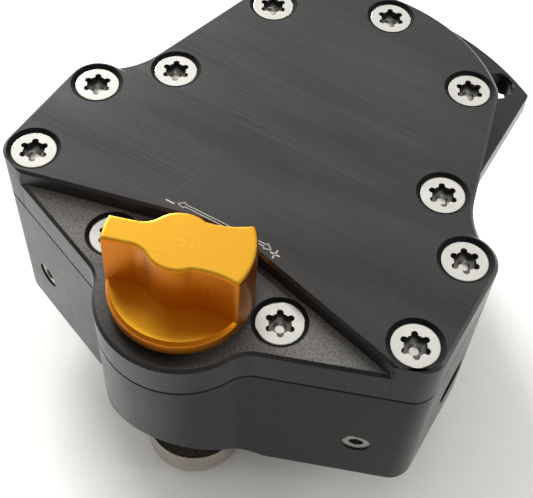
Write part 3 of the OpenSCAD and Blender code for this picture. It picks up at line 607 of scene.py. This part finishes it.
class Dressed:
    """A copy of a CAD node that gets broken edges and takes the node's place.

    Attributes:
        WELD: Corners closer than this are welded, in millimetres.
        JOIN: Faces that turn less than this are joined, in degrees.
        TURN: Least and greatest turn of an edge that is broken, in degrees.
        LIFT: Distance from an edge to where the look-out for a covering part begins.
        LOOK: How far that look-out goes.
        SMOOTH: Edges that turn less than this are shaded smooth, in degrees.
        EDGE: Width of a break.
    """

    WELD = 0.002
    JOIN = 0.3
    TURN = (28, 150)
    LIFT = 0.3
    LOOK = 4
    SMOOTH = 24
    EDGE = 0.2

    def __init__(self, node: str, body: Body, slot: Slot) -> None:
        """Copy the node's mesh and clean it for modelling.

        Args:
            node: Name of the CAD node.
            body: Body that it rides on.
            slot: Its material slot.
        """
        self.node = node
        self.body = body
        self.slot = slot
        source = frame["nodes"][node]
        activate(source)
        bpy.ops.object.duplicate(linked=False)
        self.obj = bpy.context.view_layer.objects.active
        self.obj.name = f"{node}_dressed"
        bpy.ops.object.transform_apply(location=True, rotation=True, scale=True)
        bpy.ops.object.mode_set(mode="EDIT")
        bpy.ops.mesh.customdata_custom_splitnormals_clear()
        bpy.ops.mesh.select_all(action="SELECT")
        bpy.ops.mesh.remove_doubles(threshold=self.WELD * MM)
        bpy.ops.mesh.dissolve_limited(angle_limit=math.radians(self.JOIN))
        bpy.ops.object.mode_set(mode="OBJECT")

    def edges(self) -> list[tuple[int, Edge]]:
        """List the sharp outer edges that nothing covers.

        Returns:
            Number and facts of each.
        """
        mesh = self.obj.data
        faces: dict[tuple[int, int], list[bpy.types.MeshPolygon]] = {}
        for face in mesh.polygons:
            for key in face.edge_keys:
                faces.setdefault(key, []).append(face)
        graph = bpy.context.evaluated_depsgraph_get()
        found = []
        for edge in mesh.edges:
            pair = faces.get(edge.key, [])
            if len(pair) != 2:
                continue
            one, two = pair
            turn = math.degrees(one.normal.angle(two.normal, 0.0))
            if not self.TURN[0] <= turn <= self.TURN[1]:
                continue
            a, b = (mesh.vertices[i].co for i in edge.vertices)
            middle = (a + b) / 2
            inward = (b - a).cross(one.normal)
            if inward.dot(one.center - middle) < 0:
                inward = -inward
            # An inner corner isn't broken.
            if two.normal.dot(inward) > 0:
                continue
            lean = (one.normal + two.normal).normalized()
            covered, *_ = bpy.context.scene.ray_cast(
                graph, middle + lean * self.LIFT * MM, lean, distance=self.LOOK * MM)
            if covered:
                continue
            flat = max(abs(one.normal.z), abs(two.normal.z))
            found.append((edge.index, Edge(middle / MM, flat)))
        return found

    def width(self, edge: Edge) -> float:
        """Give the width of an edge's break in millimetres; a sub-class refines it."""
        return self.EDGE

    def sunk(self, place: Vector, lean: float) -> bool:
        """Tell whether a face lies in a hollow that gets painted shade; a sub-class refines it."""
        return False

    def dress(self, material: bpy.types.Material, rounds: int = 1) -> bpy.types.Object:
        """Break the edges, set the material and put the piece in the node's place.

        Args:
            material: What it is made of.
            rounds: Steps across a broken edge; one makes a flat chamfer.

        Returns:
            The finished piece.
        """
        listed = [(index, self.width(edge)) for index, edge in self.edges()]
        widest = max((w for _, w in listed), default=0.0)
        mesh = self.obj.data
        shares = [0.0] * len(mesh.edges)
        for index, width in listed:
            shares[index] = width / widest
        weights = mesh.attributes.new("bevel_weight_edge", "FLOAT", "EDGE")
        weights.data.foreach_set("value", shares)
        activate(self.obj)
        bevel = self.obj.modifiers.new("broken_edges", "BEVEL")
        bevel.limit_method = "WEIGHT"
        bevel.width = widest * MM
        bevel.segments = rounds
        bevel.use_clamp_overlap = False
        bevel.loop_slide = False
        bpy.ops.object.modifier_apply(modifier=bevel.name)
        bpy.ops.object.shade_smooth_by_angle(angle=math.radians(self.SMOOTH))
        even = self.obj.modifiers.new("even_shading", "WEIGHTED_NORMAL")
        even.keep_sharp = True
        bpy.ops.object.modifier_apply(modifier=even.name)
        faces = self.obj.data.polygons
        # Mark the faces of countersinks and sockets that get painted shade.
        shade_mask = self.obj.data.attributes.new(RECESS_SHADE, "FLOAT", "FACE")
        shade_mask.data.foreach_set(
            "value", [self.sunk(face.center / MM, face.normal.z) for face in faces])
        self.obj.data.materials.clear()
        self.obj.data.materials.append(material)
        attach(self.obj, self.body.value)
        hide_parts(self.node)
        log.info("dressed %s: %d edges broken", self.node, len(listed))
        return self.obj


@dataclass
class CoverPlan:
    """Where the cover's countersinks are and how wide its edges are broken.

    Attributes:
        sinks: Centres of the eleven countersinks in plan.
        sink_r: Radius of a countersink at the surface.
        outer: Chamfer round the top.
        split: Chamfer at the joint between body and cover.
        sink_edge: Break of a countersink's rim.
        sink_room: Least distance from a rim at which a chamfer isn't the rim's own.
        sink_land: Width that a chamfer leaves beside a rim.
        level_up: Upright share of the normal from which a face counts as level.
        joint_z: Height of the joint.
        joint_near: Distance from the joint within which an edge belongs to it.
    """

    sinks: tuple[tuple[float, float], ...] = (
        (-37, -68.65), (37, -68.65), (-37, -49.95), (37, -49.95), (0, -2.9),
        (-21.38, -12.55), (21.38, -12.55), (-27.72, -38.0), (27.72, -38.0),
        (-16.3, -74.6), (16.3, -74.6))
    sink_r: float = 4.7
    outer: float = 0.55
    split: float = 0.3
    sink_edge: float = 0.1
    sink_room: float = 0.05
    sink_land: float = 0.12
    level_up: float = 0.97
    joint_z: float = 5.0
    joint_near: float = 1.0

    def reach(self, place: Vector) -> float:
        """Give the distance in plan from a place to the nearest countersink's rim."""
        return min(math.hypot(place.x - x, place.y - y) for x, y in self.sinks) - self.sink_r


class Cover(Dressed):
    """The cover plate with its three levels."""

    def __init__(self, plan: CoverPlan) -> None:
        """Copy the cover's node.

        Args:
            plan: Where its countersinks are.
        """
        super().__init__("top_cover", Body.HOUSING, Slot.BRUSHED)
        self.plan = plan

    def width(self, edge: Edge) -> float:
        """Give the chamfer of an edge; beside a countersink it narrows.

        Args:
            edge: The edge.

        Returns:
            Its width in millimetres.
        """
        plan = self.plan
        if edge.middle.z < plan.joint_z + plan.joint_near:
            return plan.split
        room = plan.reach(edge.middle)
        if room < plan.sink_room:
            return plan.sink_edge
        return max(plan.sink_edge, min(plan.outer, room - plan.sink_land))

    def sunk(self, place: Vector, lean: float) -> bool:
        """Tell whether a face is part of a countersink, which gets painted shade.

        Args:
            place: The face's middle, in millimetres.
            lean: Upright share of its normal.

        Returns:
            Whether it is.
        """
        return self.plan.reach(place) < self.plan.sink_land and lean < self.plan.level_up


class Housing(Dressed):
    """The body below the cover.

    Attributes:
        LEVEL: Upright share of a normal from which a face counts as level.
        SLANT: Upright share from which an edge isn't only between walls.
        RIM: Chamfer of the base and of the holes in it.
        CORNER: Break of an edge between walls.
    """

    LEVEL = 0.9
    SLANT = 0.5
    RIM = 0.35
    CORNER = 0.15

    def __init__(self, plan: CoverPlan) -> None:
        """Copy the body's node.

        Args:
            plan: The cover's sizes, for the joint.
        """
        super().__init__("body_housing", Body.HOUSING, Slot.BLACK)
        self.plan = plan

    def width(self, edge: Edge) -> float:
        """Give the chamfer of an edge: the joint's, the base's or a corner's.

        Args:
            edge: The edge.

        Returns:
            Its width in millimetres.
        """
        by_joint = edge.middle.z > self.plan.joint_z - self.plan.joint_near
        if edge.flat > self.LEVEL and by_joint:
            return self.plan.split
        return self.RIM if edge.flat > self.SLANT else self.CORNER


class Knob(Dressed):
    """The adjuster's knob: a slightly dished base with a grip across it.

    Attributes:
        TOP: Height of the grip's flat top.
        BASE: Height of the narrow land round the dish, which has no room for a break.
        NEAR: Distance from those heights within which an edge belongs to them.
        GRIP_EDGE: Break round the grip's top.
        BASE_EDGE: Break of the other edges.
    """

    TOP = 26.9
    BASE = 16.2
    NEAR = 0.3
    GRIP_EDGE = 0.7
    BASE_EDGE = 0.2

    def __init__(self) -> None:
        """Copy the knob's node."""
        super().__init__("adjuster_knob", Body.KNOB, Slot.GOLD)

    def width(self, edge: Edge) -> float:
        """Give the break of an edge: wide round the grip's top, none at the dish's land."""
        if edge.middle.z > self.TOP - self.NEAR:
            return self.GRIP_EDGE
        return 0.0 if abs(edge.middle.z - self.BASE) < self.NEAR else self.BASE_EDGE


class Screws(Dressed):
    """Countersunk screws with six-lobed sockets.

    Attributes:
        HEAD_R: Distance from a screw's axis beyond which an edge is the head's rim.
        HEAD_EDGE: Break of that rim.
        SOCKET_EDGE: Break of the socket.
        SOCKET_R: Distance from the axis within which a face is the socket's.
        SOCKET_Z: Depth below the top where the socket's walls with painted shade begin and end.
    """

    HEAD_R = 3
    HEAD_EDGE = 0.22
    SOCKET_EDGE = 0.1
    SOCKET_R = 2.7
    SOCKET_Z = (0.12, 1.25)

    def __init__(self, node: str, plan: CoverPlan) -> None:
        """Copy a set of screws.

        Args:
            node: Name of the set's node.
            plan: Where the screws stand.
        """
        super().__init__(node, Body.HOUSING, Slot.STAINLESS)
        self.plan = plan
        self.top = max(corner.co.z for corner in self.obj.data.vertices) / MM

    def off_axis(self, place: Vector) -> float:
        """Give the distance in plan from a place to the nearest screw's axis."""
        return self.plan.reach(place) + self.plan.sink_r

    def width(self, edge: Edge) -> float:
        """Give the break of an edge: more at the head's rim than at the socket."""
        return self.HEAD_EDGE if self.off_axis(edge.middle) > self.HEAD_R else self.SOCKET_EDGE

    def sunk(self, place: Vector, lean: float) -> bool:
        """Tell whether a face is a socket's wall or floor above the bright drilled point; those
        get painted shade.

        Args:
            place: The face's middle, in millimetres.
            lean: Upright share of its normal.

        Returns:
            Whether it is.
        """
        begin, end = self.SOCKET_Z
        return begin < self.top - place.z < end and self.off_axis(place) < self.SOCKET_R


class SmallPart(Dressed):
    """A part whose edges are all broken alike."""

    def __init__(self, node: str, body: Body, slot: Slot, edge: float) -> None:
        """Copy a node.

        Args:
            node: Its name.
            body: Body that it rides on.
            slot: Its material slot.
            edge: Width of every break.
        """
        super().__init__(node, body, slot)
        self.edge = edge

    def width(self, edge: Edge) -> float:
        """Give the same break for every edge."""
        return self.edge


@dataclass
class SettingMarks:
    """Laser marks on the band: a minus, a plus and a thin double arrow along the step.

    Attributes:
        plane_z: Level that they lie on.
        proud: How far they stand above it, to be seen.
        minus_at: Middle of the minus.
        plus_at: Middle of the plus.
        size: Length of their bars.
        bar: Width of their bars.
        thick: How thick the marks are.
        line: Width of the arrow's outline.
        gap: Distance between the arrow's two lines.
        head: Length of its heads.
        wing: Half a head's width, in shares of the gap.
        back: How far a head's back line runs in, in shares of that half.
        left: Its left tip.
        bend: Its corner behind the knob.
        right: Its right tip.
    """

    plane_z: float = 15.4
    proud: float = 0.015
    minus_at: tuple[float, float] = (-10.5, -65.75)
    plus_at: tuple[float, float] = (9.95, -65.7)
    size: float = 1.5
    bar: float = 0.3
    thick: float = 0.05
    line: float = 0.17
    gap: float = 0.5
    head: float = 1.3
    wing: float = 1.3
    back: float = 0.6
    left: tuple[float, float] = (-9.2, -65.4)
    bend: tuple[float, float] = (0.0, -63.1)
    right: tuple[float, float] = (9.0, -65.35)

    def stroke(self, start: Vector, steps: list[Vector], wide: float) -> bpy.types.Object:
        """Draw one strip, step by step from its start.

        Args:
            start: Where it begins.
            steps: Moves from one corner to the next.
            wide: Its width.

        Returns:
            The strip.
        """
        deselect()
        bpy.ops.mesh.primitive_plane_add(size=wide * MM, location=(0, 0, 0))
        strip = bpy.context.view_layer.objects.active
        bpy.ops.object.mode_set(mode="EDIT")
        bpy.ops.mesh.select_all(action="SELECT")
        turn = math.atan2(steps[0].y, steps[0].x)
        bpy.ops.transform.rotate(value=-turn, orient_axis="Z", center_override=(0, 0, 0))
        bpy.ops.transform.translate(value=(start.x * MM, start.y * MM, 0))
        bpy.ops.object.mode_set(mode="OBJECT")
        ahead = steps[0].normalized()
        ends = sorted(strip.data.vertices, key=lambda v: v.co.dot(ahead))
        for item in (*strip.data.polygons, *strip.data.edges, *strip.data.vertices):
            item.select = False
        for vertex in ends[-2:]:
            vertex.select = True
        bpy.ops.object.mode_set(mode="EDIT")
        bpy.ops.mesh.select_mode(type="EDGE")
        for step in steps:
            bpy.ops.mesh.extrude_region_move(
                TRANSFORM_OT_translate={"value": (step.x * MM, step.y * MM, 0)})
        bpy.ops.object.mode_set(mode="OBJECT")
        return strip

    def arrow(self) -> list[bpy.types.Object]:
        """Draw the double arrow's two lines and its heads.

        Returns:
            Its strips.
        """
        left, bend, right = (Vector((*p, 0)) for p in (self.left, self.bend, self.right))
        out_left, out_right = (left - bend).normalized(), (right - bend).normalized()
        neck_left, neck_right = left - out_left * self.head, right - out_right * self.head
        strips = []
        for side in (-0.5, 0.5):
            shift = Vector((0, side * self.gap, 0))
            strips.append(self.stroke(neck_left + shift, [bend - neck_left, neck_right - bend],
                                      self.line))
        for tip, out in ((left, out_left), (right, out_right)):
            across = Vector((-out.y, out.x, 0)) * self.gap * self.wing
            base = tip - out * self.head
            for sign in (-1, 1):
                corner = base + across * sign
                strips.append(self.stroke(corner, [tip - corner], self.line))
                strips.append(self.stroke(corner, [across * -sign * self.back], self.line))
        return strips

    def build(self) -> bpy.types.Object:
        """Draw all marks and join them.

        Returns:
            The marks as one piece.
        """
        half = Vector((self.size / 2, 0, 0))
        upright = Vector((0, self.size / 2, 0))
        minus, plus = Vector((*self.minus_at, 0)), Vector((*self.plus_at, 0))
        strips = [self.stroke(minus - half, [half * 2], self.bar),
                  self.stroke(plus - half, [half * 2], self.bar),
                  self.stroke(plus - upright, [upright * 2], self.bar), *self.arrow()]
        deselect()
        for strip in strips:
            strip.select_set(True)
        bpy.context.view_layer.objects.active = strips[0]
        bpy.ops.object.join()
        marks = bpy.context.view_layer.objects.active
        marks.name = "setting_marks"
        bpy.ops.object.transform_apply(location=True, rotation=True, scale=True)
        bpy.ops.object.mode_set(mode="EDIT")
        bpy.ops.mesh.select_all(action="SELECT")
        bpy.ops.mesh.normals_make_consistent(inside=False)
        bpy.ops.transform.translate(value=(0, 0, (self.plane_z + self.proud) * MM))
        bpy.ops.object.mode_set(mode="OBJECT")
        solid = marks.modifiers.new("thickness", "SOLIDIFY")
        solid.thickness = self.thick * MM
        solid.offset = -1
        bpy.ops.object.modifier_apply(modifier=solid.name)
        marks.data.materials.append(LASER.build())
        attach(marks, Body.HOUSING.value)
        log.info("built setting_marks from %d strips", len(strips))
        return marks


@dataclass
class Studio:
    """Floor, light and the photograph's camera.

    Attributes:
        camera_at: Where the camera stands.
        axes: Its right, up and back directions.
        lens_mm: Focal length.
        sensor_mm: Width of the sensor.
        shift_y: How far the picture's middle is from the lens axis.
        near_m: Nearest distance that the camera sees.
        floor_m: Side of the floor.
        floor_gap: Distance from the part's lowest point down to the floor.
        room: Colour of the room's light.
        room_y: Direction along Y where the room's front ends and where its back begins.
        room_light: Brightness behind the camera and behind the part.
        aim: Point that the lamps look at, in metres.
        lamps: Name, place in metres, side in metres and power in watts of each lamp.
    """

    camera_at: tuple[float, float, float] = (53.83, -153.59, 156.08)
    axes: tuple[tuple[float, float, float], ...] = (
        (0.860485, 0.507971, 0.039126), (-0.432902, 0.688503, 0.581859),
        (0.268629, -0.517618, 0.812348))
    lens_mm: float = 71.01
    sensor_mm: float = 36.0
    shift_y: float = -0.0169
    near_m: float = 0.005
    floor_m: float = 4.0
    floor_gap: float = 0.3
    room: tuple[float, float, float, float] = (1, 0.985, 0.955, 1)
    room_y: Span = (-0.9, 0.3)
    room_light: Span = (0.42, 0.6)
    aim: tuple[float, float, float] = (0, -0.04, 0)
    lamps: tuple[tuple[str, tuple[float, float, float], float, float], ...] = (
        ("window", (-0.4, 0.8, 1.1), 1.2, 5),
        ("key_softbox", (-0.9, 0.6, 0.36), 0.5, 28),
        ("right_softbox", (0.95, 0.45, 0.4), 0.5, 5))

    def camera(self) -> None:
        """Stand the camera where the photograph was taken from."""
        deselect()
        bpy.ops.object.camera_add()
        camera = bpy.context.view_layer.objects.active
        camera.name = "photo_camera"
        turn = Matrix(self.axes).transposed().to_4x4()
        camera.matrix_world = Matrix.Translation(Vector(self.camera_at) * MM) @ turn
        camera.data.lens = self.lens_mm
        camera.data.sensor_width = self.sensor_mm
        camera.data.sensor_fit = "HORIZONTAL"
        camera.data.shift_y = self.shift_y
        camera.data.clip_start = self.near_m
        bpy.context.scene.camera = camera

    def floor(self) -> None:
        """Lay a white sweep just below the lowest part."""
        deselect()
        bpy.ops.mesh.primitive_plane_add(
            size=self.floor_m, location=(0, 0, CAD_BOX[0][2] - self.floor_gap * MM))
        floor = bpy.context.view_layer.objects.active
        floor.name = "floor"
        floor.data.materials.append(PAPER.build())

    def light(self, name: str, at: tuple[float, float, float], size: float,
              power: float) -> None:
        """Hang a square soft light that looks at the part.

        Args:
            name: Its name.
            at: Where it hangs, in metres.
            size: Its side in metres.
            power: Its power in watts.
        """
        deselect()
        bpy.ops.object.light_add(type="AREA", location=at)
        lamp = bpy.context.view_layer.objects.active
        lamp.name = name
        lamp.data.size = size
        lamp.data.energy = power
        turn = (Vector(self.aim) - Vector(at)).to_track_quat("-Z", "Y")
        lamp.rotation_euler = turn.to_euler()

    def build(self) -> None:
        """Set up room light, lamps, floor and camera."""
        world = bpy.data.worlds.new("soft_room")
        bpy.context.scene.world = world
        world.use_nodes = True
        tree = world.node_tree
        room = tree.nodes["Background"]
        room.inputs["Color"].default_value = self.room
        coords = add_node(tree, "ShaderNodeTexCoord", {}, {})
        apart = add_node(tree, "ShaderNodeSeparateXYZ", {}, {0: (coords, "Generated")})
        strength, output = add_range(tree, (apart, "Y"), self.room_y, self.room_light)
        tree.links.new(strength.outputs[output], room.inputs["Strength"])
        bpy.context.scene.view_settings.view_transform = "Standard"
        for lamp in self.lamps:
            self.light(*lamp)
        self.floor()
        self.camera()


# Node, body, slot, width of every break, and steps across a break.
SMALL_PARTS = (
    ("link_arm", Body.ARM, Slot.BLACK, 0.4, 1),
    ("rod_end_body", Body.ARM, Slot.ZINC, 0.25, 2),
    ("rod_end_lock_nut", Body.ARM, Slot.ZINC, 0.2, 1),
    ("rod_end_ball", Body.ROD_BALL, Slot.OXIDE, 0.2, 2),
    ("wing_plug_left", Body.HOUSING, Slot.STAINLESS, 0.15, 1),
    ("wing_plug_right", Body.HOUSING, Slot.STAINLESS, 0.15, 1),
    ("side_plug_left", Body.HOUSING, Slot.OXIDE, 0.15, 1),
    ("side_plug_right", Body.HOUSING, Slot.OXIDE, 0.15, 1))
SCREW_SETS = ("corner_screws", "rim_screws", "valve_screws")


def dress_nodes(materials: dict[Slot, bpy.types.Material]) -> None:
    """Give every CAD node the material of its slot.

    Args:
        materials: The material for each slot.
    """
    for part in frame["record"]["subparts"]:
        node = frame["nodes"][part["node"]]
        node.data.materials.clear()
        node.data.materials.append(materials[Slot(part["material_slot"])])


def main() -> None:
    """Build and dress the damper, then light it."""
    logging.basicConfig(level=logging.INFO, format="%(name)s: %(message)s")
    plan = CoverPlan()
    materials = {slot: finish.build() for slot, finish in FINISHES.items()}
    dress_nodes(materials)
    pieces: list[tuple[Dressed, int]] = [
        (Housing(plan), 1), (Cover(plan), 1), (Knob(), 2),
        *((Screws(node, plan), 2) for node in SCREW_SETS),
        *((SmallPart(*row), rounds) for *row, rounds in SMALL_PARTS)]
    for piece, rounds in pieces:
        piece.dress(materials[piece.slot], rounds)
    SettingMarks().build()
    Studio().build()


if __name__ == "__main__":
    main()
